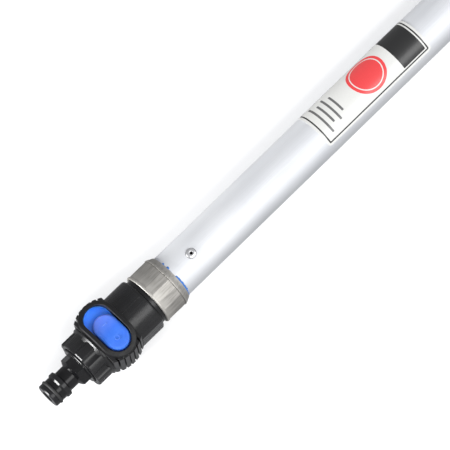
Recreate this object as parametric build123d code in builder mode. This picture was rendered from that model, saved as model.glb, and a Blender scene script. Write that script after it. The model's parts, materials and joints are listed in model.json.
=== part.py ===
"""Water-fed telescopic window cleaning pole with an inline slide valve at its hose end.

Frame: the pole lies along X with the hose nipple at low X, +Z is up and the valve's button faces up.
The origin is on the pole's axis, in the middle of the nipple's front seal land.
Distances along the pole are measured from the nipple's open end, in millimetres.
"""
import os
from math import cos, radians, sin

from build123d import *

# ---- driving dimensions ------------------------------------------------------------------------
inlet_end = -1.5            # the nipple's open end, from the origin
running = 0.05              # radial clearance of a running fit
loose = 0.1                 # clearance between fixed pieces of one body

# hose nipple, by distance from the open end
water_radius = 4.0
land_radius = 7.95
groove_start = 3.0
groove_end = 5.3
groove_radius = 6.4
stem_radius = 7.8
collar_radius = 8.7
collar_start = 9.3
collar_end = 12.0
neck_radius = 7.05
hex_start = 19.1
hex_across_flats = 18.0
flange_face = 26.2
flange_back = 29.2
flange_radius = 12.7
shank_radius = 10.0
shank_end = 39.0

# valve body
socket_face = 27.3
socket_radius = 16.7
lobe_count = 9
scallop_radius = 5.0
scallop_depth = 1.3
flange_ring_radius = 17.6     # ring at the socket's back, with a sloping front
socket_end = 39.9
waist_radius = 12.0
waist_start = 42.7          # the round waists at both ends of the valve's block
waist_end = 60.5
cylinder_start = 63.25
cylinder_radius = 18.3
cylinder_flats = 34.2
cylinder_end = 81.0
neck_ring_radius = 15.9
neck_ring_end = 83.2
thread_radius = 16.15
body_end = 92.0
port_radius = 2.6
insert_bore = 9.05

# oval valve cover
valve_middle = 51.6         # distance of the cover's middle
cover_length = 38.8         # across the pole, without the grip ribs
cover_width = 23.1          # along the pole
cover_top = 22.0
cover_back = -6.4
cover_crown = 36.0          # radius of the convex front
cover_wall = 2.0
cover_ceiling = 13.3
opening_length = 33.6
opening_width = 17.2
rib_count = 7
rib_pitch = 3.5
rib_width = 2.4
rib_reach = 20.5            # radius of the circle that the ribs' tips lie on
rib_top = 14.4              # the ribs end under the plate
plate_length = 40.1         # front plate, which overhangs the ribs' roots
screw_along = 5.9
screw_across = 11.6
post_radius = 2.1
rest_level = -19.0          # the flat that the pole rests on
base_length = 33.0
base_width = 22.0

# slide button and gate
button_travel = 7.0
button_length = 24.8
button_width = 15.6
button_floor = 14.9
button_top = 21.0
button_edge = 1.8
tray_floor = 14.6
tray_rim = 15.6
tray_flange = 13.2
tray_bottom = 10.2
block_width = 15.6
block_length = 18.0
block_bottom = -10.4
gate_thickness = 3.96
gate_length = 24.0
gate_height = 12.0
gate_hole = 2.2
gate_clearance = 0.035
stem_half_length = 2.4
seal_ring_radius = 3.65
seal_cord_radius = 0.6
ball_radius = 1.5
ball_height = -7.3

# outer tube, insert and collar nut
tube_radius = 15.0
tube_bore = 13.5
tube_start = 96.7
tube_end = 1025.0
insert_radius = 13.4
rivet_distance = 119.6
rivet_angle = 7.5           # from straight up, towards -Y
rivet_head = 3.25
nut_start = 83.4
nut_end = 103.0
nut_radius = 17.7
nut_flats = 18
nut_lip = 98.5              # end of the flats, where a narrow lip stands up
nut_cone = 99.0
flats_depth = 0.12          # corners of the flats below the nut's full radius
label_start = 226.0
label_end = 314.0
label_middle = -11.0        # from straight up, towards -Y
label_arc = 137.5
label_thickness = 0.15

# lever clamp at the outer tube's far end
clamp_start = 1000.0
clamp_end = 1043.0
clamp_radius = 18.0
ear_start = 1026.0
ear_end = 1042.0
ear_thickness = 5.1
slit = 1.8
bolt_distance = 1034.0
bolt_height = 22.8
bolt_radius = 2.0
pin_offset = 12.85
pin_radius = 3.6
cam_radius = 5.0
cam_offset = 0.5
lever_width = 14.0
lever_inside = 18.5
lever_thickness = 3.2

# inner tube
inner_radius = 12.5
inner_bore = 11.3
inner_start = 164.0
inner_end = 1058.0
piston_radius = 13.2
tip_thread_pitch = 4.0
tip_nose_radius = 7.0
tip_end = 1094.5

along = Plane((inlet_end, 0, 0))
middle_x = inlet_end + valve_middle


# ---- shared shapes -----------------------------------------------------------------------------
def section(distance):
    """Plane across the pole, seen from the far end: local x is Y and local y is Z."""
    return Plane.YZ.offset(inlet_end + distance)


def level(height):
    """Horizontal plane above the middle of the valve: local x is X and local y is Y."""
    return Plane((middle_x, 0, height))


def turn(corners, mode=Mode.ADD):
    """Revolve a closed outline of (distance, radius) corners about the pole's axis."""
    with BuildSketch(along) as outline:
        with BuildLine():
            Polyline(*corners, close=True)
        make_face()
    revolve(outline.sketch, axis=Axis.X, mode=mode)


def rod(start, end, radius, mode=Mode.ADD):
    """Round bar on the pole's axis between two distances."""
    with BuildSketch(section(start)) as disc:
        Circle(radius)
    extrude(disc.sketch, amount=end - start, mode=mode)


def o_ring(distance, ring_radius, cord_radius):
    """O-ring about the pole's axis."""
    with BuildSketch(along) as cord:
        with Locations((distance, ring_radius)):
            Circle(cord_radius)
    revolve(cord.sketch, axis=Axis.X)


def sector(start, end, inner, outer, middle, arc):
    """Curved strip between two distances and radii, its middle at an angle from +Z towards -Y."""
    first = 90 + middle - arc / 2
    with BuildSketch(section(start)) as strip:
        with BuildLine():
            outside = CenterArc((0, 0), outer, first, arc)
            inside = CenterArc((0, 0), inner, first, arc)
            Line(outside @ 0, inside @ 0)
            Line(outside @ 1, inside @ 1)
        make_face()
    extrude(strip.sketch, amount=end - start)


def slab(bottom, top, length, width, offset=(0, 0), mode=Mode.ADD):
    """Straight block over the valve's middle: length runs across the pole, width along it."""
    with BuildSketch(level(bottom)) as plan:
        with Locations(offset):
            Rectangle(width, length)
    extrude(plan.sketch, amount=top - bottom, mode=mode)


def oval(bottom, top, length, width, offset=(0, 0), mode=Mode.ADD):
    """Upright stadium over the valve's middle, long across the pole."""
    with BuildSketch(level(bottom)) as plan:
        with Locations(offset):
            SlotOverall(length, width, rotation=90)
    extrude(plan.sketch, amount=top - bottom, mode=mode)


def screw_columns(bottom, top, radius, mode=Mode.ADD):
    """Four round columns on the cover screws' axes."""
    with BuildSketch(level(bottom)) as plan:
        with GridLocations(2 * screw_along, 2 * screw_across, 2, 2):
            Circle(radius)
    extrude(plan.sketch, amount=top - bottom, mode=mode)


def crown(radius, middle_y, top, mode=Mode.INTERSECT):
    """Trim to the inside of a large cylinder along the pole, for a convex front."""
    with BuildSketch(section(valve_middle - cover_width)) as round_front:
        with Locations((middle_y, top - radius)):
            Circle(radius)
    extrude(round_front.sketch, amount=2 * cover_width, mode=mode)


def radial(distance, radius, angle):
    """Plane through a point of the pole's surface: local x is X and local y points outwards."""
    turn_angle = radians(angle)
    outwards = (0, -sin(turn_angle), cos(turn_angle))
    origin = (inlet_end + distance, radius * outwards[1], radius * outwards[2])
    return Plane(origin, x_dir=(1, 0, 0), z_dir=(0, -cos(turn_angle), -sin(turn_angle)))


def rivet(distance, radius, angle, head_radius, head_height, shank_length):
    """Set blind rivet: domed head with the mandrel's hole, and a shank that goes into the tube."""
    place = radial(distance, radius, angle)
    hole = 0.3 * head_radius
    shank = 0.49 * head_radius
    with BuildSketch(place) as half:
        with BuildLine():
            rim = (head_radius, 0.25 * head_height)
            lip = (hole + 0.35, head_height)
            ThreePointArc(rim, (0.78 * head_radius, 0.74 * head_height), lip)
            Polyline(lip, (hole, 0.8 * head_height), (hole, -0.5 * shank_length), (0, -0.55 * shank_length))
            Polyline((0, -0.55 * shank_length), (0, -shank_length), (shank, -shank_length))
            Polyline((shank, -shank_length), (shank, -0.2), (head_radius, -0.2), rim)
        make_face()
    revolve(half.sketch, axis=Axis(place.origin, place.y_dir))


def rivet_holes(distance, radius, depth, angles, hole_radius):
    """Radial holes for rivets."""
    for angle in angles:
        place = radial(distance, radius, angle)
        outer_plane = Plane(place.origin + place.y_dir, x_dir=(1, 0, 0), z_dir=place.y_dir)
        with BuildSketch(outer_plane) as hole:
            Circle(hole_radius)
        extrude(hole.sketch, amount=-depth - 1, mode=Mode.SUBTRACT)


def save(part, name):
    """Label a finished piece and write it."""
    part.label = name
    export_step(part, f"parts/{name}.step")


os.makedirs("parts", exist_ok=True)
three_ways = [rivet_angle, rivet_angle + 120, rivet_angle + 240]
two_ways = [rivet_angle, rivet_angle + 180]

# ---- hose nipple and its seals -----------------------------------------------------------------
with BuildPart() as hose_nipple:
    turn([
        (0, water_radius), (0, 7.35), (0.6, land_radius), (groove_start, land_radius),
        (groove_start, groove_radius), (groove_end, groove_radius), (groove_end, stem_radius),
        (collar_start - 1.0, stem_radius), (collar_start, collar_radius), (collar_end, collar_radius),
        (collar_end + 0.9, neck_radius), (flange_face, neck_radius), (flange_face, flange_radius - 0.3),
        (flange_face + 0.3, flange_radius), (flange_back, flange_radius), (flange_back, shank_radius),
        (shank_end - 1.0, shank_radius), (shank_end, shank_radius - 1.0), (shank_end, water_radius),
    ])
    with BuildSketch(section(hex_start)) as nut_shape:
        RegularPolygon(hex_across_flats / 2, 6, major_radius=False)
    extrude(nut_shape.sketch, amount=flange_face - hex_start)
    rod(hex_start - 1, flange_face, water_radius, mode=Mode.SUBTRACT)
    turn([(hex_start, neck_radius), (hex_start + 2.3, 11.0), (hex_start, 11.0)], mode=Mode.SUBTRACT)

with BuildPart() as nipple_o_ring:
    o_ring((groove_start + groove_end) / 2, 7.5, 1.05)

with BuildPart() as nipple_gasket:
    turn([(29.3, 10.2), (29.3, 12.9), (30.6, 12.9), (30.6, 10.2)])

# ---- valve body --------------------------------------------------------------------------------
with BuildPart() as valve_body:
    with BuildSketch(section(socket_face)) as lobed:
        Circle(socket_radius)
        pitch = 360 / lobe_count
        with PolarLocations(socket_radius + scallop_radius - scallop_depth, lobe_count, 90 + pitch / 2):
            Circle(scallop_radius, mode=Mode.SUBTRACT)
    extrude(lobed.sketch, amount=socket_end - socket_face)
    turn([
        (socket_end - 3.4, 11), (socket_end - 3.4, socket_radius - 1.5),
        (socket_end - 1.1, flange_ring_radius),
        (socket_end, flange_ring_radius), (socket_end, 11),
    ])
    turn([(socket_face, 16.1), (socket_face + 0.6, socket_radius), (socket_face, 17.2)], mode=Mode.SUBTRACT)
    rod(socket_end, waist_start, waist_radius)
    rod(waist_end, cylinder_start, waist_radius)
    slab(block_bottom, tray_bottom - loose, block_width, block_length)
    with BuildSketch(section(cylinder_start)) as flatted:
        Circle(cylinder_radius)
        Rectangle(cylinder_flats, 2 * cylinder_radius, mode=Mode.INTERSECT)
    extrude(flatted.sketch, amount=cylinder_end - cylinder_start)
    fillet(valve_body.faces().sort_by(Axis.X)[-1].edges(), 2.2)
    rod(cylinder_end - 1, neck_ring_end, neck_ring_radius)
    rod(neck_ring_end, body_end, thread_radius)
    rod(socket_face - 1, 30.7, 13.3, mode=Mode.SUBTRACT)
    rod(30.7, 39.2, shank_radius + running, mode=Mode.SUBTRACT)
    rod(39.2, 72.0, port_radius, mode=Mode.SUBTRACT)
    rod(72.0, body_end + 1, insert_bore, mode=Mode.SUBTRACT)
    gate_room = gate_height / 2 + loose
    slab(-gate_room, gate_room, 2 * block_width, gate_thickness + 2 * gate_clearance, mode=Mode.SUBTRACT)
    stem_room = 2 * stem_half_length + button_travel + 0.6
    slab(gate_room - 1, tray_bottom + 1, stem_room, 3.3, mode=Mode.SUBTRACT)
    gate_face = gate_thickness / 2 + gate_clearance
    for side in (-1, 1):
        near = valve_middle + side * (gate_face - 0.1)
        far = valve_middle + side * (gate_face + 1.22)
        turn([(near, 3.0), (far, 3.0), (far, 4.3), (near, 4.3)], mode=Mode.SUBTRACT)
    with BuildSketch(level(block_bottom - 1)) as ball_bore:
        Circle(ball_radius + loose)
    extrude(ball_bore.sketch, amount=6, mode=Mode.SUBTRACT)

# ---- oval cover, its back and the screws -------------------------------------------------------
with BuildPart() as front_cover:
    oval(cover_back, rib_top, cover_length, cover_width)
    oval(rib_top, cover_top + 1, plate_length, cover_width)
    crown(cover_crown, 0, cover_top)
    fillet(front_cover.faces().sort_by(Axis.Z)[-1].edges(), 0.9)
    with BuildSketch(level(cover_back)) as ribs:
        with GridLocations(rib_pitch, 2 * 15.0, rib_count, 2):
            Rectangle(rib_width, 12.0)
        Circle(rib_reach, mode=Mode.INTERSECT)
        Rectangle(cover_width, 2 * rib_reach, mode=Mode.INTERSECT)
    extrude(ribs.sketch, amount=rib_top - cover_back)
    inner_length = cover_length - 2 * cover_wall
    inner_width = cover_width - 2 * cover_wall
    oval(cover_back - 1, cover_ceiling, inner_length, inner_width, mode=Mode.SUBTRACT)
    oval(cover_ceiling - 1, cover_top + 1, opening_length, opening_width, mode=Mode.SUBTRACT)
    fillet(front_cover.faces().sort_by(Axis.Z)[-1].inner_wires()[0].edges(), 0.5)
    with BuildSketch(level(cover_back)) as webs:
        with GridLocations(2 * screw_along, 2 * (screw_across + 2.5), 2, 2):
            Rectangle(2.4, 5.0)
    extrude(webs.sketch, amount=tray_bottom - loose - cover_back)
    screw_columns(cover_back, tray_bottom - loose, post_radius)
    screw_columns(cover_back - 1, 7.0, 1.2, mode=Mode.SUBTRACT)
    rod(valve_middle - cover_width, valve_middle + cover_width, waist_radius + 0.15, mode=Mode.SUBTRACT)
    slab(cover_back - 1, 0, 2 * (waist_radius + 0.15) - 8, 2 * cover_width, mode=Mode.SUBTRACT)

with BuildPart() as rear_cover:
    with BuildSketch(level(rest_level)):
        SlotOverall(base_length, base_width, rotation=90)
    with BuildSketch(level(cover_back - loose)):
        SlotOverall(cover_length, cover_width, rotation=90)
    loft()
    with BuildSketch(level(rest_level + 2.5)):
        SlotOverall(base_length - 4.6, base_width - 4.6, rotation=90)
    with BuildSketch(level(cover_back)):
        SlotOverall(inner_length, inner_width, rotation=90)
    loft(mode=Mode.SUBTRACT)
    screw_columns(rest_level, cover_back - loose, post_radius)
    with BuildSketch(level(rest_level)) as spring_seat:
        Circle(2.6)
    extrude(spring_seat.sketch, amount=5.6)
    screw_columns(rest_level - 1, rest_level + 2.5, 1.95, mode=Mode.SUBTRACT)
    screw_columns(rest_level, cover_back, 1.25, mode=Mode.SUBTRACT)
    rod(valve_middle - cover_width, valve_middle + cover_width, waist_radius + 0.15, mode=Mode.SUBTRACT)

with BuildPart() as cover_screws:
    screw_columns(rest_level + 0.8, rest_level + 2.45, 1.85)
    screw_columns(rest_level + 2.45, 6.0, 1.15)
    with BuildSketch(level(rest_level + 0.8)) as drive:
        with GridLocations(2 * screw_along, 2 * screw_across, 2, 2):
            RegularPolygon(0.95, 6)
    extrude(drive.sketch, amount=0.9, mode=Mode.SUBTRACT)

# ---- button, tray, gate and detent -------------------------------------------------------------
button_middle = -button_travel / 2

with BuildPart() as button_tray:
    oval(tray_bottom, tray_flange, inner_length - 2 * loose, inner_width - 2 * loose)
    oval(tray_bottom, tray_rim, opening_length - 2 * loose, opening_width - 2 * loose)
    with BuildSketch(level(tray_floor)):
        SlotOverall(opening_length - 1.0, opening_width - 1.0, rotation=90)
    with BuildSketch(level(tray_rim + 0.01)):
        SlotOverall(opening_length - 0.4, opening_width - 0.4, rotation=90)
    loft(mode=Mode.SUBTRACT)
    slab(tray_bottom - 1, tray_rim, stem_room, 3.3, mode=Mode.SUBTRACT)
    rod(waist_start - 5, waist_start + loose, waist_radius + loose, mode=Mode.SUBTRACT)
    rod(waist_end - loose, waist_end + 5, waist_radius + loose, mode=Mode.SUBTRACT)

with BuildPart() as slide_button:
    oval(button_floor, button_top + 1, button_length, button_width, offset=(0, button_middle))
    crown(cover_crown - 1, button_middle, button_top)
    fillet(slide_button.faces().sort_by(Axis.Z)[-1].edges(), button_edge)
    with BuildSketch(level(button_top - 2.5)) as marks:
        with Locations((0, button_middle + 5.6)):
            Rectangle(3.4, 0.7)
        with Locations((0, button_middle - 5.6)):
            Circle(1.7)
            Circle(1.05, mode=Mode.SUBTRACT)
    extrude(marks.sketch, amount=2.25)
    slab(6.2, button_floor, 2 * stem_half_length, 3.0, offset=(0, button_middle))
    slab(3.35, 6.2, 2 * stem_half_length, 2.0, offset=(0, button_middle))

with BuildPart() as valve_gate:
    slab(-gate_height / 2, gate_height / 2, gate_length, gate_thickness, offset=(0, button_middle))
    with BuildSketch(section(valve_middle - 5)) as flow_hole:
        with Locations((2 * button_middle, 0)):
            Circle(gate_hole)
    extrude(flow_hole.sketch, amount=10, mode=Mode.SUBTRACT)
    slab(3.3, 7, 2 * stem_half_length + 0.1, 2.1, offset=(0, button_middle), mode=Mode.SUBTRACT)
    slab(-7, -5.7, button_travel + 2.4, 2.4, offset=(0, button_middle), mode=Mode.SUBTRACT)
    with Locations((middle_x, 0, -6.9), (middle_x, 2 * button_middle, -6.9)):
        Sphere(ball_radius + loose, mode=Mode.SUBTRACT)

with BuildPart() as gate_seals:
    for side in (-1, 1):
        o_ring(valve_middle + side * (gate_face + 0.62), seal_ring_radius, seal_cord_radius)

with BuildPart() as detent_ball:
    with Locations((middle_x, 0, ball_height)):
        Sphere(ball_radius)

with BuildPart() as detent_spring:
    with BuildLine(level(-13.1)) as coil:
        Helix(pitch=1.05, height=4.0, radius=1.15)
    with BuildSketch(Plane(coil.line @ 0, z_dir=coil.line % 0)):
        Circle(0.2)
    sweep(path=coil.line, is_frenet=True)

# ---- union between valve and tube --------------------------------------------------------------
with BuildPart() as outlet_gasket:
    turn([(92.1, 9.3), (92.1, 15.6), (93.35, 15.6), (93.35, 9.3)])

with BuildPart() as tube_insert:
    turn([
        (74.0, 5.0), (74.0, 8.5), (74.5, 9.0), (78.0, 9.0), (78.0, 7.4), (80.2, 7.4), (80.2, 9.0),
        (84.0, 9.0), (84.0, 7.4), (86.2, 7.4), (86.2, 9.0), (93.45, 9.0), (93.45, 15.8), (96.5, 15.8),
        (96.5, insert_radius), (103.0, insert_radius), (103.0, 11.6), (105.4, 11.6), (105.4, insert_radius),
        (109.0, insert_radius), (109.0, 11.6), (111.4, 11.6), (111.4, insert_radius),
        (132.0, insert_radius), (132.0, 5.0),
    ])
    rivet_holes(rivet_distance, insert_radius, 5.0, two_ways, 1.65)

with BuildPart() as insert_o_rings:
    o_ring(79.1, 8.22, 0.8)
    o_ring(85.1, 8.22, 0.8)
    o_ring(104.2, 12.55, 0.93)
    o_ring(110.2, 12.55, 0.93)

with BuildPart() as outer_tube:
    turn([
        (tube_start, tube_bore), (tube_start, tube_radius), (tube_end, tube_radius), (tube_end, tube_bore),
    ])
    rivet_holes(rivet_distance, tube_radius, 3.0, two_ways, 1.65)

with BuildPart() as tube_rivets:
    for angle in two_ways:
        rivet(rivet_distance, tube_radius, angle, rivet_head, 1.05, 4.6)

with BuildPart() as collar_nut:
    turn([
        (nut_start, thread_radius + loose), (nut_start, nut_radius - 0.4), (nut_start + 0.4, nut_radius),
        (nut_cone, nut_radius), (nut_end, 15.75), (nut_end, 15.5), (100.9, 15.5),
        (100.9, thread_radius + loose),
    ])
    with BuildSketch(section(nut_start + 1.6)) as flats:
        Circle(nut_radius + 1)
        RegularPolygon(nut_radius - flats_depth, nut_flats, rotation=5, mode=Mode.SUBTRACT)
    extrude(flats.sketch, amount=nut_lip - nut_start - 1.6, mode=Mode.SUBTRACT)
    with BuildSketch(section(nut_lip - 0.35)) as lip_groove:
        Circle(nut_radius + 1)
        Circle(nut_radius - 0.65, mode=Mode.SUBTRACT)
    extrude(lip_groove.sketch, amount=0.35, mode=Mode.SUBTRACT)

with BuildPart() as sealing_ring:
    turn([
        (96.65, 15.06), (96.65, 16.15), (100.8, 16.15), (100.8, 15.42), (nut_end + 0.3, 15.42),
        (nut_end + 0.3, 15.06),
    ])
    beads = ((-21, 4.5, 0.8), (-5.5, 7, 1.0), (43, 45, 1.1), (79, 30, 0.6), (160, 50, 0.9))
    for bead_middle, bead_arc, bead_height in beads:
        sector(nut_end + 0.05, nut_end + bead_height, 15.06, 15.95, bead_middle, bead_arc)

with BuildPart() as label_sticker:
    label_inside = tube_radius + 0.03
    sector(label_start, label_end, label_inside, label_inside + label_thickness, label_middle, label_arc)

# ---- lever clamp -------------------------------------------------------------------------------
ear_middle = (ear_start + ear_end) / 2
ear_face = slit / 2 + ear_thickness

with BuildPart() as clamp_collar:
    turn([
        (clamp_start, 14.0), (clamp_start, clamp_radius - 0.9), (clamp_start + 0.9, clamp_radius),
        (clamp_end - 0.9, clamp_radius), (clamp_end, clamp_radius - 0.9), (clamp_end, 14.0),
    ])
    with BuildSketch(section(clamp_start)) as foot:
        with Locations((0, (rest_level - 13) / 2)):
            Rectangle(18, -rest_level - 13)
    extrude(foot.sketch, amount=clamp_end - clamp_start)
    with BuildSketch(section(ear_start)) as ears:
        with Locations((0, 21.0)):
            Rectangle(2 * ear_face, 13.0)
        fillet(ears.vertices().group_by(Axis.Z)[-1], 2.5)
    extrude(ears.sketch, amount=ear_end - ear_start)
    rod(clamp_start - 1, tube_end + 0.1, tube_radius + 0.06, mode=Mode.SUBTRACT)
    rod(tube_end, clamp_end + 1, 13.7, mode=Mode.SUBTRACT)
    with BuildSketch(section(1018.0)) as gap:
        with Locations((0, 20)):
            Rectangle(slit, 20)
    extrude(gap.sketch, amount=clamp_end - 1018.0 + 1, mode=Mode.SUBTRACT)
    with BuildSketch(Plane.XZ) as bolt_hole:
        with Locations((inlet_end + bolt_distance, bolt_height)):
            Circle(bolt_radius + loose)
    extrude(bolt_hole.sketch, amount=20, both=True, mode=Mode.SUBTRACT)

with BuildPart() as clamp_bush:
    bush_bore = inner_radius + 0.08
    turn([
        (1004.0, bush_bore), (1004.0, 13.42), (tube_end + 0.4, 13.42), (tube_end + 0.4, 13.62),
        (clamp_end - 0.4, 13.62), (clamp_end - 0.4, bush_bore),
    ])
    with BuildSketch(section(1012.0)) as bush_gap:
        with Locations((0, 13)):
            Rectangle(slit, 6)
    extrude(bush_gap.sketch, amount=40, mode=Mode.SUBTRACT)


def cross_bar(start, end, radius, mode=Mode.ADD):
    """Round bar along Y on the clamp bolt's axis."""
    with BuildSketch(Plane.XZ.offset(-start)) as disc:
        with Locations((inlet_end + bolt_distance, bolt_height)):
            Circle(radius)
    extrude(disc.sketch, amount=start - end, mode=mode)


with BuildPart() as clamp_washers:
    for side in (-1, 1):
        cross_bar(side * (ear_face + loose), side * (ear_face + 1.2), 5.0)
    cross_bar(-20, 20, bolt_radius + loose, mode=Mode.SUBTRACT)

with BuildPart() as clamp_bolt:
    head_face = -(ear_face + 1.25)
    cross_bar(head_face, pin_offset + 1.5, bolt_radius)
    cross_bar(head_face - 4.0, head_face, 3.6)
    with BuildSketch(Plane.XZ.offset(4.0 - head_face)) as socket:
        with Locations((inlet_end + bolt_distance, bolt_height)):
            RegularPolygon(1.7, 6)
    extrude(socket.sketch, amount=-2.2, mode=Mode.SUBTRACT)

with BuildPart() as lever_pin:
    with BuildSketch(section(bolt_distance - 7.5)) as barrel:
        with Locations((pin_offset, bolt_height)):
            Circle(pin_radius)
    extrude(barrel.sketch, amount=15)
    chamfer(lever_pin.edges().filter_by(GeomType.CIRCLE), 0.4)
    cross_bar(0, 30, bolt_radius + 0.03, mode=Mode.SUBTRACT)

lever_middle = lever_inside + lever_thickness / 2
arm_top = 48
arm_end = -36


def on_arc(radius, angle):
    """Point in a section plane at a radius and an angle from +Y."""
    return (radius * cos(radians(angle)), radius * sin(radians(angle)))


with BuildPart() as clamp_lever:
    with BuildSketch(section(bolt_distance - lever_width / 2)) as side_shape:
        with BuildSketch(mode=Mode.PRIVATE) as root:
            with Locations((pin_offset - cam_offset, bolt_height)):
                Circle(cam_radius)
            with Locations(on_arc(lever_middle, arm_top)):
                Circle(lever_thickness / 2)
            make_hull()
        with BuildSketch(mode=Mode.PRIVATE) as finger_lift:
            with Locations(on_arc(lever_middle, arm_end)):
                Circle(lever_thickness / 2)
            with Locations(on_arc(lever_middle + 1.6, arm_end - 9)):
                Circle(lever_thickness / 2 - 0.4)
            make_hull()
        with BuildLine():
            outside = CenterArc((0, 0), lever_inside + lever_thickness, arm_end, arm_top - arm_end)
            inside = CenterArc((0, 0), lever_inside, arm_end, arm_top - arm_end)
            Line(outside @ 0, inside @ 0)
            Line(outside @ 1, inside @ 1)
        make_face()
        add(root.sketch)
        add(finger_lift.sketch)
    extrude(side_shape.sketch, amount=lever_width)
    with BuildSketch(section(bolt_distance - 2.4)) as fork:
        with Locations((pin_offset, bolt_height + 4.0)):
            Rectangle(14, 13)
    extrude(fork.sketch, amount=4.8, mode=Mode.SUBTRACT)
    with BuildSketch(section(bolt_distance - lever_width)) as pin_hole:
        with Locations((pin_offset, bolt_height)):
            Circle(pin_radius + running)
    extrude(pin_hole.sketch, amount=2 * lever_width, mode=Mode.SUBTRACT)

# ---- inner tube, its piston and its tip --------------------------------------------------------
with BuildPart() as inner_tube:
    turn([
        (inner_start, inner_bore), (inner_start, inner_radius), (inner_end, inner_radius),
        (inner_end, inner_bore),
    ])
    rivet_holes(175.0, inner_radius, 3.0, three_ways, 1.35)
    rivet_holes(1050.0, inner_radius, 3.0, three_ways, 1.35)

with BuildPart() as piston:
    turn([
        (142.0, 4.5), (142.0, 12.7), (142.5, piston_radius), (145.5, piston_radius), (145.5, 11.4),
        (148.1, 11.4), (148.1, piston_radius), (151.5, piston_radius), (151.5, 12.0), (158.0, 12.0),
        (158.0, piston_radius), (160.0, piston_radius), (160.0, 11.4), (162.6, 11.4),
        (162.6, piston_radius),
        (163.9, piston_radius), (163.9, 11.22), (186.0, 11.22), (186.0, 4.5),
    ])
    rivet_holes(175.0, 11.22, 4.0, three_ways, 1.35)

with BuildPart() as piston_seals:
    o_ring(146.8, 12.42, 1.0)
    o_ring(161.3, 12.42, 1.0)

with BuildPart() as glide_ring:
    turn([(151.6, 12.06), (151.6, 13.44), (157.9, 13.44), (157.9, 12.06)])

with BuildPart() as piston_rivets:
    for angle in three_ways:
        rivet(175.0, inner_radius, angle, 2.6, 0.6, 4.2)

with BuildPart() as tip_insert:
    turn([
        (1028.0, 3.5), (1028.0, 10.7), (1028.5, 11.22), (1036.0, 11.22), (1036.0, 9.6), (1038.2, 9.6),
        (1038.2, 11.22), (1058.1, 11.22), (1058.1, 13.0), (1058.5, 13.4), (1061.6, 13.4), (1062.0, 13.0),
        (1062.0, 9.0), (1087.0, 9.0), (1088.0, tip_nose_radius), (1089.5, tip_nose_radius),
        (1089.5, 5.6), (1091.7, 5.6), (1091.7, tip_nose_radius), (tip_end - 0.5, tip_nose_radius),
        (tip_end, 6.5), (tip_end, 3.5),
    ])
    for crest in range(6):
        start = 1064.5 + crest * tip_thread_pitch
        turn([(start - 1.3, 8.9), (start - 0.6, 10.4), (start + 0.6, 10.4), (start + 1.3, 8.9)])
    rivet_holes(1050.0, 11.22, 4.0, three_ways, 1.35)

with BuildPart() as tip_o_rings:
    o_ring(1037.1, 10.45, 0.82)

with BuildPart() as nose_o_ring:
    o_ring(1090.6, 6.45, 0.83)

with BuildPart() as tip_rivets:
    for angle in three_ways:
        rivet(1050.0, inner_radius, angle, 2.6, 0.9, 4.2)

# ---- write every piece -------------------------------------------------------------------------
pieces = {
    "hose_nipple": hose_nipple, "nipple_o_ring": nipple_o_ring, "nipple_gasket": nipple_gasket,
    "valve_body": valve_body, "front_cover": front_cover, "rear_cover": rear_cover,
    "cover_screws": cover_screws, "button_tray": button_tray, "slide_button": slide_button,
    "valve_gate": valve_gate, "gate_seals": gate_seals, "detent_ball": detent_ball,
    "detent_spring": detent_spring, "outlet_gasket": outlet_gasket, "tube_insert": tube_insert,
    "insert_o_rings": insert_o_rings, "outer_tube": outer_tube, "tube_rivets": tube_rivets,
    "collar_nut": collar_nut, "sealing_ring": sealing_ring, "label_sticker": label_sticker,
    "clamp_collar": clamp_collar, "clamp_bush": clamp_bush, "clamp_washers": clamp_washers,
    "clamp_bolt": clamp_bolt, "lever_pin": lever_pin, "clamp_lever": clamp_lever,
    "inner_tube": inner_tube, "piston": piston, "piston_seals": piston_seals,
    "glide_ring": glide_ring, "piston_rivets": piston_rivets, "tip_insert": tip_insert,
    "tip_o_rings": tip_o_rings, "nose_o_ring": nose_o_ring, "tip_rivets": tip_rivets,
}
for name, builder in pieces.items():
    save(builder.part, name)
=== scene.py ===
"""Looks of a water-fed window cleaning pole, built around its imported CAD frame.

Everything is in metres in the part's own frame: the pole lies along +X with its hose nipple at low X,
+Z is up and the valve's button faces up.
"""
import json
from math import asin, cos, pi, radians, sin, tau

import bmesh
import bpy
from mathutils import Matrix, Vector, noise


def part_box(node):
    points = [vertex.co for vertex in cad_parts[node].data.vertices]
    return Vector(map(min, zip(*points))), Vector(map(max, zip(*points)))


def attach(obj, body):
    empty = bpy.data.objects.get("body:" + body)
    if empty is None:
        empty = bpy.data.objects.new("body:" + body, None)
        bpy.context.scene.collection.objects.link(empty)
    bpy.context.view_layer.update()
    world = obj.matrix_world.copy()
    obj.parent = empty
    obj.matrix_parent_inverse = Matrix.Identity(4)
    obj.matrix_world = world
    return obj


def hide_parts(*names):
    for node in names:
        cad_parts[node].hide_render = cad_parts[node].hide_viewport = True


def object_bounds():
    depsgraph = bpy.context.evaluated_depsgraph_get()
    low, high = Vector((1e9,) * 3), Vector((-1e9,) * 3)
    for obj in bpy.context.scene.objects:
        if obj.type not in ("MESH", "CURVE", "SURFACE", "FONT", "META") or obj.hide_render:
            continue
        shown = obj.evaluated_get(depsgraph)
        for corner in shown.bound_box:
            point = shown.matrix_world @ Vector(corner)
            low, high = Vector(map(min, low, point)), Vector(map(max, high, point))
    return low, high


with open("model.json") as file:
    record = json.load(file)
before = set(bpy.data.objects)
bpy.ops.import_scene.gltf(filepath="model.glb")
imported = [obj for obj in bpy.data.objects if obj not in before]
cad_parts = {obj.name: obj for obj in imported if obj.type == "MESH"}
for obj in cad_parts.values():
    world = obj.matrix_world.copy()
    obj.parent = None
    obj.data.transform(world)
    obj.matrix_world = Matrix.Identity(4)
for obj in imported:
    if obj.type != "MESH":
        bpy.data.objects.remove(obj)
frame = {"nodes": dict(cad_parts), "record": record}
cad_low, cad_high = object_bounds()

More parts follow.
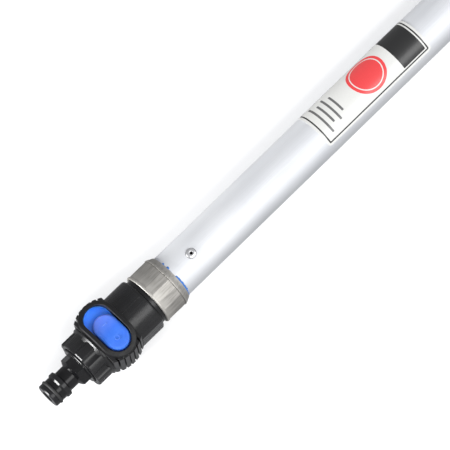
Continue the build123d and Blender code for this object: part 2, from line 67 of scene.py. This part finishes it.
MM = 0.001
EVERY_WAY = (1, 1, 1)
nodes = frame["nodes"]


# ---- places read from the frame ----------------------------------------------------------------
def lowest(node):
    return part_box(node)[0]


def highest(node):
    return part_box(node)[1]


tube_radius = highest("outer_tube").y
nut_mouth = highest("collar_nut").x
cylinder_top = highest("valve_body").z
floor_level = cad_low.z


# ---- material helpers --------------------------------------------------------------------------
class Nodes:
    """A new material with a Principled shader, and short ways to add procedural nodes to it."""

    def __init__(self, name, **constants):
        self.material = bpy.data.materials.new(name)
        self.material.use_nodes = True
        self.tree = self.material.node_tree
        self.shader = self.tree.nodes["Principled BSDF"]
        for socket, value in constants.items():
            self.shader.inputs[socket.replace("_", " ")].default_value = value

    def add(self, kind, **inputs):
        """One node; inputs are numbers, or the output sockets of other nodes."""
        node = self.tree.nodes.new(kind)
        for key, value in inputs.items():
            socket = node.inputs[key.replace("_", " ")]
            if isinstance(value, bpy.types.NodeSocket):
                self.tree.links.new(value, socket)
            else:
                socket.default_value = value
        return node

    def where(self, stretch=EVERY_WAY):
        """Position on the part in metres, scaled along each axis."""
        place = self.add("ShaderNodeTexCoord").outputs["Object"]
        return self.add("ShaderNodeMapping", Vector=place, Scale=stretch).outputs["Vector"]

    def along(self, axis):
        """How far a point lies along an axis, named X, Y or Z, in metres."""
        return self.add("ShaderNodeSeparateXYZ", Vector=self.where()).outputs[axis]

    def noise(self, size, detail, stretch=EVERY_WAY, roughness=0.5):
        """Soft noise whose features are about size metres, less where stretch is more than 1."""
        node = self.add("ShaderNodeTexNoise", Vector=self.where(stretch), Scale=1 / size, Detail=detail,
                        Roughness=roughness)
        return node.outputs["Fac"]

    def remap(self, value, low, high, to_low, to_high):
        """Straight-line change of range, held at both ends."""
        node = self.add("ShaderNodeMapRange", Value=value, From_Min=low, From_Max=high, To_Min=to_low,
                        To_Max=to_high)
        return node.outputs["Result"]

    def multiply(self, first, second):
        """Product of two output sockets."""
        node = self.add("ShaderNodeMath", Value=first)
        node.operation = "MULTIPLY"
        self.tree.links.new(second, node.inputs[1])
        return node.outputs["Value"]

    def blend(self, share, first, second):
        """Colour between two colours, which may be output sockets; share is an output socket."""
        node = self.tree.nodes.new("ShaderNodeMix")
        node.data_type = "RGBA"
        factor, first_colour, second_colour = (node.inputs[index] for index in (0, 6, 7))   # for RGBA
        self.tree.links.new(share, factor)
        for socket, colour in ((first_colour, first), (second_colour, second)):
            if isinstance(colour, bpy.types.NodeSocket):
                self.tree.links.new(colour, socket)
            else:
                socket.default_value = (*colour, 1)
        mixed_colour = 2
        return node.outputs[mixed_colour]

    def to(self, socket, value):
        """Link an output socket to the shader."""
        self.tree.links.new(value, self.shader.inputs[socket])

    def surface(self, height, depth, strength, edge=None):
        """Bump from a height of 0 to 1 times depth metres, over edges rounded by edge metres."""
        bump = self.add("ShaderNodeBump", Height=height, Distance=depth, Strength=strength)
        if edge:
            bevel = self.add("ShaderNodeBevel", Radius=edge)
            bevel.samples = 4
            self.tree.links.new(bevel.outputs["Normal"], bump.inputs["Normal"])
        self.to("Normal", bump.outputs["Normal"])

    def worn_edges(self, most=1.0):
        """0 on flats, rising to most on outward edges."""
        flat, edge = 0.52, 0.62         # pointiness
        sharpness = self.add("ShaderNodeNewGeometry").outputs["Pointiness"]
        return self.remap(sharpness, flat, edge, 0, most)


def moulded(name, colour, second, worn, gloss=(0.32, 0.5), shine=0.5, painted_sheen_side=None, depth=None,
            sheen_painted_below=None):
    """Moulded plastic: fine grain, faint flow marks, scuffs that dull it and slightly rubbed edges.

    Its colour drifts from colour to second, and is worn at the edges; gloss is its range of roughness.
    painted_sheen_side is a paler colour painted on the +Y half, a painted sheen; depth is how far light
    soaks in;
    below the level sheen_painted_below the plastic is painted paler, a painted sheen, and is smoother.
    """
    look = Nodes(name, IOR=1.5, Specular_IOR_Level=shine)
    drift = look.noise(9 * MM, 3)
    scuff = look.noise(1.4 * MM, 4, stretch=(0.35, 1, 1))
    plain = look.blend(look.remap(drift, 0.35, 0.65, 0, 1), colour, second)
    dull = look.remap(scuff, 0.35, 0.7, *gloss)
    # painted sheen: a paler colour across the +Y half, standing in for light falling on that side
    if painted_sheen_side:
        plain = look.blend(look.remap(look.along("Y"), -4 * MM, 8 * MM, 0, 1), plain, painted_sheen_side)
    # painted sheen: below this level the colour is paler, standing in for highlights on the side ribs; the
    # roughness is also lower there
    if sheen_painted_below:
        level, full = look.along("Z"), sheen_painted_below + MM
        plain = look.blend(look.remap(level, sheen_painted_below, full, 0, 1), (0.02, 0.02, 0.021), plain)
        dull = look.multiply(dull, look.remap(level, sheen_painted_below, full, 0.7, 1))
    if depth:
        look.shader.inputs["Subsurface Weight"].default_value = 0.5
        look.shader.inputs["Subsurface Radius"].default_value = (0.3, 0.6, 1.0)
        look.shader.inputs["Subsurface Scale"].default_value = depth
    look.to("Base Color", look.blend(look.worn_edges(most=0.35), plain, worn))
    look.to("Roughness", dull)
    look.surface(look.noise(0.3 * MM, 2), 0.012 * MM, 0.6, edge=0.25 * MM)
    return look.material


def drawn_aluminium():
    """Satin anodised tube with fine lines along its length."""
    look = Nodes("tube_satin_aluminium", Metallic=1.0, Anisotropic=0.35)
    lines = look.noise(0.35 * MM, 3, stretch=(0.012, 1, 1), roughness=0.65)
    cloud = look.noise(22 * MM, 3, stretch=(0.5, 1, 1))
    plain = look.blend(look.remap(cloud, 0.3, 0.7, 0, 1), (0.63, 0.64, 0.66), (0.69, 0.697, 0.71))
    look.to("Base Color", plain)
    look.to("Roughness", look.remap(lines, 0.3, 0.7, 0.66, 0.78))
    look.surface(lines, 0.006 * MM, 0.5)
    return look.material


def cast_metal():
    """Warm grey satin metal of the collar nut, with tumbling marks and brighter rubbed edges."""
    look = Nodes("collar_nut_satin_metal", Metallic=1.0)
    streaks = look.noise(0.8 * MM, 4, stretch=(0.1, 1, 1), roughness=0.65)
    cloud = look.noise(1.3 * MM, 4, stretch=(0.1, 1, 1), roughness=0.65)
    plain = look.blend(look.remap(cloud, 0.38, 0.62, 0, 1), (0.27, 0.26, 0.242), (0.36, 0.348, 0.327))
    look.to("Base Color", look.blend(look.worn_edges(), plain, (0.5, 0.485, 0.455)))
    look.to("Roughness", look.remap(streaks, 0.3, 0.7, 0.5, 0.66))
    look.surface(streaks, 0.03 * MM, 0.55, edge=0.25 * MM)
    return look.material


def rubber(name, colour, gloss=(0.5, 0.7)):
    """Soft rubber with a faint mottled bloom."""
    look = Nodes(name)
    bloom = look.noise(1.6 * MM, 4)
    light = tuple(min(1, 1.6 * part + 0.01) for part in colour)
    look.to("Base Color", look.blend(look.remap(bloom, 0.4, 0.75, 0, 0.7), colour, light))
    look.to("Roughness", look.remap(bloom, 0.3, 0.7, *gloss))
    look.surface(look.noise(0.4 * MM, 3), 0.02 * MM, 0.6)
    return look.material


def bright_metal(name, colour, roughness=(0.16, 0.3), painted_shade_below=None):
    """Turned or pressed bright metal with fine marks; painted near black within painted_shade_below metres
    of the pole's axis.

    The painted shade fades out over a short height, so that a rivet's hollow looks deep; it also paints a
    thin contact shadow along the head's lowest edge.
    """
    look = Nodes(name, Metallic=1.0)
    marks = look.noise(0.3 * MM, 4)
    plain = look.blend(look.remap(marks, 0.3, 0.7, 0, 1), colour, tuple(0.85 * c for c in colour))
    if painted_shade_below:
        length = look.add("ShaderNodeVectorMath", Vector=look.where((0, 1, 1)))
        length.operation = "LENGTH"
        height = look.remap(length.outputs["Value"], painted_shade_below, painted_shade_below + 0.3 * MM, 0, 1)
        # painted shade: near black in the rivet's hollow and along the head's lowest edge
        plain = look.blend(height, (0.01, 0.01, 0.01), plain)
    look.to("Base Color", plain)
    look.to("Roughness", look.remap(marks, 0.3, 0.7, *roughness))
    look.surface(marks, 0.01 * MM, 0.5, edge=0.15 * MM)
    return look.material


def printed_film(name, colour):
    """Glossy label film: ink with a very fine mottle and a faint orange peel."""
    look = Nodes(name, Coat_Weight=0.12, Coat_Roughness=0.15)
    mottle = look.noise(0.5 * MM, 3)
    dark = tuple(0.93 * c for c in colour)
    look.to("Base Color", look.blend(look.remap(mottle, 0.3, 0.7, 0, 1), colour, dark))
    look.to("Roughness", look.remap(mottle, 0.3, 0.7, 0.32, 0.44))
    look.surface(look.noise(2.5 * MM, 2), 0.01 * MM, 0.5)
    return look.material


black = moulded("black_moulded_plastic", (0.004, 0.004, 0.0045), (0.006, 0.006, 0.0065),
                worn=(0.03, 0.03, 0.032), gloss=(0.22, 0.34), shine=0.3)
# below the given level its sides are painted paler: a painted sheen on the grip ribs
black_matt = moulded("black_grained_plastic", (0.005, 0.005, 0.0055), (0.007, 0.007, 0.0075),
                     worn=(0.012, 0.012, 0.013), gloss=(0.4, 0.55), shine=0.2, sheen_painted_below=14 * MM)
black_smooth = moulded("black_polished_plastic", (0.003, 0.003, 0.0035), (0.005, 0.005, 0.0055),
                       worn=(0.03, 0.03, 0.032), gloss=(0.13, 0.22), shine=0.22)
blue = moulded("blue_moulded_plastic", (0.035, 0.14, 0.58), (0.045, 0.155, 0.63),
               worn=(0.25, 0.4, 0.9), gloss=(0.4, 0.52), shine=0.25, depth=1.2 * MM)
# the pad's +Y half is painted paler: a painted sheen
thumb_blue = moulded("blue_button_plastic", (0.03, 0.13, 0.55), (0.04, 0.145, 0.6),
                     worn=(0.25, 0.4, 0.9), gloss=(0.4, 0.52), shine=0.22,
                     painted_sheen_side=(0.1, 0.17, 0.6), depth=1.2 * MM)
# lighter copy of the blue plastic for the tray sunk in the bezel: painted light that makes the tray read
# brightly lit
tray_blue_painted_lighter = moulded("blue_moulded_plastic_painted_lighter", (0.035, 0.21, 0.9), (0.045, 0.23, 0.94),
                      worn=(0.25, 0.5, 0.95), gloss=(0.3, 0.42), shine=0.4, depth=2 * MM)
acetal = moulded("white_acetal", (0.72, 0.72, 0.68), (0.78, 0.78, 0.75), worn=(0.85, 0.85, 0.83))
aluminium = drawn_aluminium()
nut_metal = cast_metal()
black_rubber = rubber("black_rubber", (0.005, 0.005, 0.005))
blue_rubber = rubber("blue_sealing_rubber", (0.008, 0.1, 0.35), gloss=(0.35, 0.5))
steel = bright_metal("stainless_steel", (0.62, 0.61, 0.6))
rivet_metal = bright_metal("rivet_aluminium", (0.83, 0.83, 0.84))
hollow_rivet = bright_metal("rivet_aluminium_with_painted_shade", (0.62, 0.62, 0.63), roughness=(0.2, 0.34),
                            painted_shade_below=tube_radius + 0.3 * MM)
film_white = printed_film("label_white_film", (0.56, 0.56, 0.54))
film_black = printed_film("label_black_ink", (0.006, 0.006, 0.006))
film_red = printed_film("label_red_ink", (0.6, 0.04, 0.043))
film_grey = printed_film("label_grey_ink", (0.1, 0.1, 0.1))

looks = {
    "black_plastic": black, "blue_plastic": blue, "satin_metal": nut_metal, "blue_seal": blue_rubber,
    "black_rubber": black_rubber, "tube_aluminium": aluminium, "rivet_aluminium": rivet_metal,
    "stainless_steel": steel, "white_acetal": acetal, "label_film": film_white,
}
own_looks = {
    "front_cover": black_matt, "hose_nipple": black_smooth, "slide_button": thumb_blue,
    "button_tray": tray_blue_painted_lighter, "tube_rivets": hollow_rivet,
}
for part in frame["record"]["subparts"]:
    mesh = nodes[part["node"]].data
    for index in range(len(mesh.materials)):
        mesh.materials[index] = own_looks.get(part["node"], looks[part["material_slot"]])


# ---- mesh helpers ------------------------------------------------------------------------------
def finish_piece(name, mesh, body, materials, replaced=None, crease=35):
    """Make a piece from a bmesh, shade it, and say what it rides on and stands for."""
    bmesh.ops.recalc_face_normals(mesh, faces=mesh.faces)
    data = bpy.data.meshes.new(name)
    mesh.to_mesh(data)
    mesh.free()
    for material in materials:
        data.materials.append(material)
    data.shade_smooth()
    data.set_sharp_from_angle(angle=radians(crease))
    piece = bpy.data.objects.new(name, data)
    bpy.context.scene.collection.objects.link(piece)
    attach(piece, body)
    if replaced:
        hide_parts(replaced)
    return piece


def stitch(mesh, loops, closed=True, material=0):
    """Quads between neighbouring loops of equal length; closed joins the last to the first."""
    count = len(loops[0])
    pairs = list(zip(loops, loops[1:]))
    if closed:
        pairs.append((loops[-1], loops[0]))
    for first, second in pairs:
        for index in range(count):
            after = (index + 1) % count
            face = mesh.faces.new((first[index], first[after], second[after], second[index]))
            face.material_index = material


def lathe(mesh, outline):
    """Closed outline of (x, radius) points turned about the pole's axis."""
    steps = 160
    loops = []
    for x, radius in outline:
        ring = [mesh.verts.new((x, radius * cos(tau * step / steps), radius * sin(tau * step / steps)))
                for step in range(steps)]
        loops.append(ring)
    stitch(mesh, loops)


def cap(mesh, loops):
    """Close the two ends of a stitched run of loops."""
    mesh.faces.new(loops[0])
    mesh.faces.new(loops[-1])


def soften(piece, width):
    """Rounded edges."""
    bevel = piece.modifiers.new("rounded_edges", "BEVEL")
    bevel.width = width
    bevel.segments = 2
    bevel.limit_method = "ANGLE"
    bevel.angle_limit = radians(40)
    bevel.harden_normals = True


# ---- plain label -------------------------------------------------------------------------------
label_start = lowest("label_sticker").x
label_length = highest("label_sticker").x - label_start
label_radius = highest("label_sticker").z
label_first = asin(lowest("label_sticker").y / label_radius)     # edge angles, from +Z towards +Y
label_last = asin(highest("label_sticker").y / label_radius)
label_width = (label_last - label_first) * label_radius
film = 0.15 * MM                        # thickness of the film
ink = 0.008 * MM                        # how far the ink stands on it
label_materials = (film_white, film_black, film_red, film_grey)
WHITE, BLACK, RED, GREY = range(4)      # places in label_materials


def rounded(start, end, half_width, radius):
    """Rounded rectangle in the label's flat plan: start and end along the pole, half_width across."""
    steps = 8
    points = []
    corners = ((end, half_width, 0), (start, half_width, 1), (start, -half_width, 2), (end, -half_width, 3))
    for u, v, quarter in corners:
        centre_u = u - radius if u == end else u + radius
        centre_v = v - radius if v > 0 else v + radius
        for step in range(steps + 1):
            angle = (quarter + step / steps) * pi / 2
            points.append((centre_u + radius * cos(angle), centre_v + radius * sin(angle)))
    return points


def disc(centre, radius):
    """Circle in the label's flat plan, with its centre on the label's middle line."""
    steps = 72
    return [(centre + radius * cos(tau * step / steps), radius * sin(tau * step / steps))
            for step in range(steps)]


def layer(mesh, outline, bottom, top, material):
    """Flat plate with an outline."""
    low = [mesh.verts.new((u, v, bottom)) for u, v in outline]
    high = [mesh.verts.new((u, v, top)) for u, v in outline]
    stitch(mesh, (low, high), closed=False, material=material)
    mesh.faces.new(low).material_index = material
    mesh.faces.new(high).material_index = material


def band(mesh, outer, inner, bottom, top, material):
    """Flat closed band between two outlines of the same number of points."""
    loops = [[mesh.verts.new((u, v, height)) for u, v in outline]
             for outline, height in ((outer, bottom), (outer, top), (inner, top), (inner, bottom))]
    stitch(mesh, loops, material=material)


def make_label():
    """White film wrapped on the tube: a frame, a plain dark band, a red disc and plain bars."""
    mesh = bmesh.new()
    half = label_width / 2
    layer(mesh, rounded(0, label_length, half, 2.5 * MM), -film, 0, WHITE)

    rim = 1.6 * MM                      # bare film outside the frame's line
    line = 0.95 * MM
    inner_rim = rim + line
    band(mesh, rounded(rim, label_length - rim, half - rim, 0.8 * MM),
         rounded(inner_rim, label_length - inner_rim, half - inner_rim, 0.3 * MM), -film / 2, ink, BLACK)

    heading_start, heading_end = 66.5 * MM, 84.5 * MM
    heading_margin = 3.4 * MM
    heading = rounded(heading_start, heading_end, half - heading_margin, 0.6 * MM)
    layer(mesh, heading, -film / 2, ink, BLACK)

    roundel = 47 * MM
    disc_radius, ring_outside, ring_inside = 13 * MM, 11 * MM, 10.3 * MM
    layer(mesh, disc(roundel, disc_radius), -film / 2, ink, RED)
    band(mesh, disc(roundel, ring_outside), disc(roundel, ring_inside), -film / 2, 2 * ink, WHITE)

    first_bar, bar_pitch, bar_height, bar_margin = 7 * MM, 4.4 * MM, 1.5 * MM, 5 * MM
    for index, share in enumerate((0.92, 0.6, 0.75, 0.5)):
        start = first_bar + bar_pitch * index
        bar = rounded(start, start + bar_height, share * (half - bar_margin), 0.4 * MM)
        layer(mesh, bar, -film / 2, ink, GREY)

    slices = 72                         # cuts along the pole, so that the film can bend round it
    for index in range(1, slices):
        across = -half + label_width * index / slices
        geometry = [*mesh.verts, *mesh.edges, *mesh.faces]
        bmesh.ops.bisect_plane(mesh, geom=geometry, plane_co=(0, across, 0), plane_no=(0, 1, 0))
    middle = (label_first + label_last) / 2
    for vertex in mesh.verts:
        u, v, height = vertex.co
        angle = middle + v / label_radius
        radius = label_radius - ink + height
        vertex.co = (label_start + u, radius * sin(angle), radius * cos(angle))
    finish_piece("label", mesh, "outer_pole", label_materials, "label_sticker", crease=50)


# ---- squeezed-out sealing ring -----------------------------------------------------------------
def swell(angle):
    """How far the ring is squeezed out at an angle from +Z towards -Y: 0 hidden, about 1 bulging."""
    total = 0.0
    edge = radians(2.5)
    # each bulge's middle and arc in degrees, and its height
    bulges = ((-21, 4.5, 0.6), (-5.5, 7, 0.7), (43, 45, 0.75), (79, 30, 0.35), (160, 50, 0.6))
    for middle, arc, height in bulges:
        away = abs((angle - radians(middle) + pi) % tau - pi)
        inside = min(1, max(0, (radians(arc) / 2 - away) / edge + 0.5))
        total = max(total, height * inside * inside * (3 - 2 * inside))
    place = Vector((cos(angle), sin(angle), 0.3))
    ragged = noise.noise(place * 9) * 0.35 + noise.noise(place * 31) * 0.25
    between = 0.08 + 0.1 * noise.noise(place * 6)       # the little that shows all round
    return max(0.0, total * (1 + ragged) + between)


def make_sealing_ring():
    """Blue ring in the collar nut's mouth, squeezed out unevenly against the tube."""
    mesh = bmesh.new()
    inner = tube_radius + 0.03 * MM
    lip = tube_radius + 0.42 * MM       # radius of the ring where it stands in the nut
    root = nut_mouth - 2 * MM
    face = nut_mouth + 0.03 * MM
    tallest, thinnest, spread = 1.35 * MM, 0.32 * MM, 0.55 * MM
    steps = 540
    loops = []
    for step in range(steps):
        angle = tau * step / steps
        out = swell(angle)
        height = tallest * out
        width = thinnest + spread * min(1, out)
        outline = [
            (root, inner), (face + height, inner), (face + height, inner + 0.35 * width),
            (face + 0.8 * height, inner + 0.75 * width), (face + 0.4 * height, inner + width),
            (face, inner + 0.95 * width), (face - 0.1 * MM, min(lip, inner + 0.9 * width)), (root, lip),
        ]
        loops.append([mesh.verts.new((x, -radius * sin(angle), radius * cos(angle)))
                      for x, radius in outline])
    stitch(mesh, loops)
    finish_piece("sealing_ring_bead", mesh, "outer_pole", (blue_rubber,), "sealing_ring",
                 crease=60)


# ---- threaded tip ------------------------------------------------------------------------------
def make_tip():
    """Flow-through tip with a coarse right-hand thread, in place of the row of rings."""
    mesh = bmesh.new()
    start, end = lowest("tip_insert").x, highest("tip_insert").x
    chamfer = 0.5 * MM

    # the stem inside the tube, with the groove for the tip's seal, up to the flange
    bore, stem, stem_groove, flange = 3.5 * MM, 11.22 * MM, 9.6 * MM, highest("tip_insert").y
    groove_start, groove_end = end - 58.5 * MM, end - 56.3 * MM
    flange_start, flange_end = end - 36.4 * MM, end - 32.5 * MM
    outline = [
        (start, bore), (start, stem - chamfer), (start + chamfer, stem),
        (groove_start, stem), (groove_start, stem_groove), (groove_end, stem_groove), (groove_end, stem),
        (flange_start, stem), (flange_start, flange), (flange_end, flange),
    ]

    # the thread's core, then the nose with the groove for its O-ring
    core, nose, nose_groove = 9.0 * MM, 7.0 * MM, 5.6 * MM
    core_end, nose_start = end - 7.5 * MM, end - 6.5 * MM
    ring_start, ring_end = end - 5.0 * MM, end - 2.8 * MM
    outline += [
        (flange_end, core), (core_end, core), (nose_start, nose),
        (ring_start, nose), (ring_start, nose_groove), (ring_end, nose_groove), (ring_end, nose),
        (end - chamfer, nose), (end, nose - chamfer), (end, bore),
    ]
    lathe(mesh, outline)

    pitch, crest, turns = 4.0 * MM, 10.4 * MM, 5.5
    # half the thread's width at its crest, at the core, and at its foot, which is buried in the core
    half_crest, flank, foot, buried = 0.6 * MM, 1.15 * MM, 1.3 * MM, 0.3 * MM
    first = end - 31.0 * MM
    steps = int(turns * 72)
    loops = []
    for step in range(steps + 1):
        share = step / steps
        fade = min(1, 10 * share, 10 * (1 - share))
        middle = first + pitch * turns * share
        top = core + (crest - core) * fade
        angle = tau * turns * share
        outline = [(-foot, core - buried), (-flank, core), (-half_crest, top), (half_crest, top),
                   (flank, core), (foot, core - buried)]
        loops.append([mesh.verts.new((middle + x, radius * cos(angle), radius * sin(angle)))
                      for x, radius in outline])
    stitch(mesh, loops, closed=False)
    cap(mesh, loops)
    piece = finish_piece("threaded_tip", mesh, "inner_pole", (black,), "tip_insert")
    soften(piece, 0.15 * MM)


# ---- moulding marks on the valve body ----------------------------------------------------------
def make_parting_line():
    """Thin flash line along the top of the valve's round end, with the stub of the moulding's gate."""
    mesh = bmesh.new()
    start, end = 62.1 * MM, 77.6 * MM   # along the pole
    half_width, height, buried = 0.16 * MM, 0.1 * MM, 0.06 * MM
    stub_middle, stub_reach, stub_height = 76.4 * MM, 0.7 * MM, 0.22 * MM
    waves = 900                         # per metre
    steps = 60
    loops = []
    for step in range(steps + 1):
        share = step / steps
        x = start + (end - start) * share
        stub = max(0, 1 - abs(x - stub_middle) / stub_reach)
        fade = min(1, 20 * share, 20 * (1 - share))
        uneven = 0.8 + 0.4 * noise.noise(Vector((x * waves, 0, 0)))
        rise = height * fade * uneven + stub_height * stub
        spread = half_width * (1 + 2.2 * stub)
        outline = [(-1, -buried), (-0.7, 0.55 * rise), (0, rise), (0.7, 0.55 * rise), (1, -buried)]
        loops.append([mesh.verts.new((x, y * spread, cylinder_top + z)) for y, z in outline])
    stitch(mesh, loops, closed=False)
    cap(mesh, loops)
    finish_piece("valve_parting_line", mesh, "outer_pole", (black,), crease=70)


make_label()
make_sealing_ring()
make_tip()
make_parting_line()


# ---- camera, floor and light -------------------------------------------------------------------
def make_camera():
    """Long-lens camera that looks down on the valve end, with the pole rising to the right."""
    tilt = radians(10.5)                # leaning towards the nipple's end
    turn = radians(15)                  # leaning round the pole towards -Y
    slope = radians(44.1)               # the pole's slope in the picture
    distance = 2.4
    aim = Vector((0.1475, 0, 0))        # on the pole's axis, a little beyond the valve
    back = Vector((-sin(tilt), -sin(turn) * cos(tilt), cos(turn) * cos(tilt)))
    pole = Vector((1, 0, 0))
    pole = (pole - back * pole.dot(back)).normalized()
    across = back.cross(pole)
    right = pole * cos(slope) - across * sin(slope)
    up = pole * sin(slope) + across * cos(slope)
    data = bpy.data.cameras.new("camera")
    data.sensor_width = 36
    data.lens = 320
    data.clip_start = 0.1
    data.clip_end = 100
    camera = bpy.data.objects.new("camera", data)
    bpy.context.scene.collection.objects.link(camera)
    axes = Matrix((right, up, back)).transposed()
    camera.matrix_world = Matrix.Translation(aim + back * distance) @ axes.to_4x4()
    bpy.context.scene.camera = camera


def make_floor():
    """Plain pale floor under the valve's and the clamp's flats."""
    mesh = bpy.data.meshes.new("floor")
    reach = 40
    corners = [(x * reach, y * reach, floor_level) for x, y in ((-1, -1), (1, -1), (1, 1), (-1, 1))]
    mesh.from_pydata(corners, [], [(0, 1, 2, 3)])
    floor = bpy.data.objects.new("floor", mesh)
    bpy.context.scene.collection.objects.link(floor)
    look = Nodes("pale_floor", Roughness=0.9)
    tone = look.noise(0.4, 2)
    look.to("Base Color", look.blend(look.remap(tone, 0.3, 0.7, 0, 1), (0.9, 0.9, 0.9), (0.92, 0.92, 0.92)))
    mesh.materials.append(look.material)
    floor.visible_glossy = False


def soft_box(name, centre, aim, length, width, radiance, long_side=(1, 0, 0)):
    """Rectangular light at centre that faces aim; its length lies as nearly as it can along long_side."""
    data = bpy.data.lights.new(name, "AREA")
    data.shape = "RECTANGLE"
    data.size = length
    data.size_y = width
    data.energy = radiance * pi * length * width
    light = bpy.data.objects.new(name, data)
    bpy.context.scene.collection.objects.link(light)
    centre = Vector(centre)
    back = (centre - Vector(aim)).normalized()
    along = Vector(long_side)
    along = (along - back * along.dot(back)).normalized()
    axes = Matrix((along, back.cross(along), back)).transposed()
    light.matrix_world = Matrix.Translation(centre) @ axes.to_4x4()
    light.visible_camera = False


def make_surroundings():
    """World light, slightly cool, that grows from the +Y side to the -Y side and is dimmer underneath."""
    world = bpy.data.worlds.new("studio")
    bpy.context.scene.world = world
    world.use_nodes = True
    tree = world.node_tree
    background = tree.nodes["Background"]
    background.inputs["Color"].default_value = (0.985, 0.995, 1.02, 1)
    direction = tree.nodes.new("ShaderNodeTexCoord")
    split = tree.nodes.new("ShaderNodeSeparateXYZ")
    tree.links.new(direction.outputs["Generated"], split.inputs["Vector"])
    both = tree.nodes.new("ShaderNodeMath")
    both.operation = "MULTIPLY"
    dim, bright, underneath = 0.57, 1.05, 0.6
    ramps = (("Y", 0.9, -0.9, dim, bright), ("Z", -0.6, 0.1, underneath, 1))
    for place, (axis, *limits) in enumerate(ramps):
        ramp = tree.nodes.new("ShaderNodeMapRange")
        for socket, value in zip(("From Min", "From Max", "To Min", "To Max"), limits):
            ramp.inputs[socket].default_value = value
        tree.links.new(split.outputs[axis], ramp.inputs["Value"])
        tree.links.new(ramp.outputs["Result"], both.inputs[place])
    tree.links.new(both.outputs["Value"], background.inputs["Strength"])


def make_lights():
    """A long key box over the -Y side, and a small bright box off the nipple's end."""
    middle = (cad_low.x + cad_high.x) / 2
    lean = radians(41)
    distance = 1.5
    key_place = (middle, -distance * sin(lean), distance * cos(lean))
    soft_box("key_box", key_place, (middle, 0, 0), length=2.6, width=0.75, radiance=4.3)
    nipple = (0.05, 0, 0)
    soft_box("end_box", (-1.15, 0.35, 0.25), nipple, length=0.75, width=0.28, radiance=58,
             long_side=(0, 1, 0))


make_camera()
make_floor()
make_surroundings()
make_lights()
bpy.context.scene.view_settings.view_transform = "Standard"
